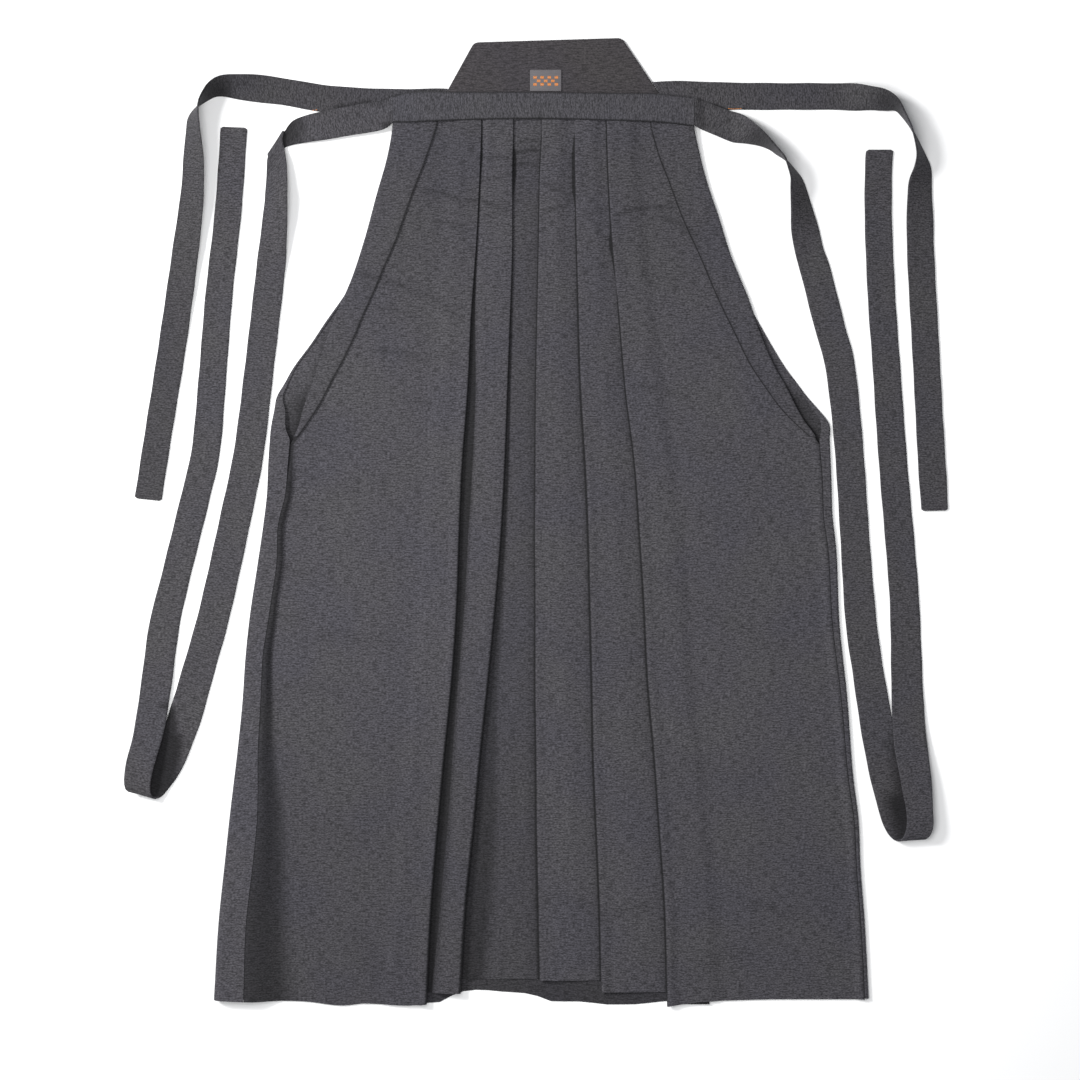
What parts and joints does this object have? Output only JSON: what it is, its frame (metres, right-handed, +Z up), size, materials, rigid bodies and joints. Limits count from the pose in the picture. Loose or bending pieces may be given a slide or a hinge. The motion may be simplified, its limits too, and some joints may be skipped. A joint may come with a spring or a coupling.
{
  "type": "hakama trousers",
  "caption": "Pleated hakama trousers laid out flat, front up, with a stiff back board, a folded front band and four tie straps.",
  "frame": {"origin": "on the surface it lies on, under the middle of the laid-out garment's box", "axes": "+X to the viewer's right, +Y from the hem towards the back board, +Z up out of the surface"},
  "size_m": [0.8479, 0.9977, 0.0291],
  "materials": {
    "cloth": "matte heathered weave",
    "board_cloth": "matte heathered weave over a stiff board",
    "strap_cloth": "matte heathered weave",
    "label": "woven label"
  },
  "bodies": {
    "root": {"back_left": "cloth", "back_right": "cloth", "back_board": "board_cloth", "label": "label", "rear_strap_left": "strap_cloth", "rear_strap_right": "strap_cloth", "front_left": "cloth", "front_right": "cloth", "side_band_left": "cloth", "side_band_right": "cloth", "front_band": "strap_cloth", "front_strap_left": "strap_cloth", "front_strap_right": "strap_cloth"}
  },
  "joints": []
}
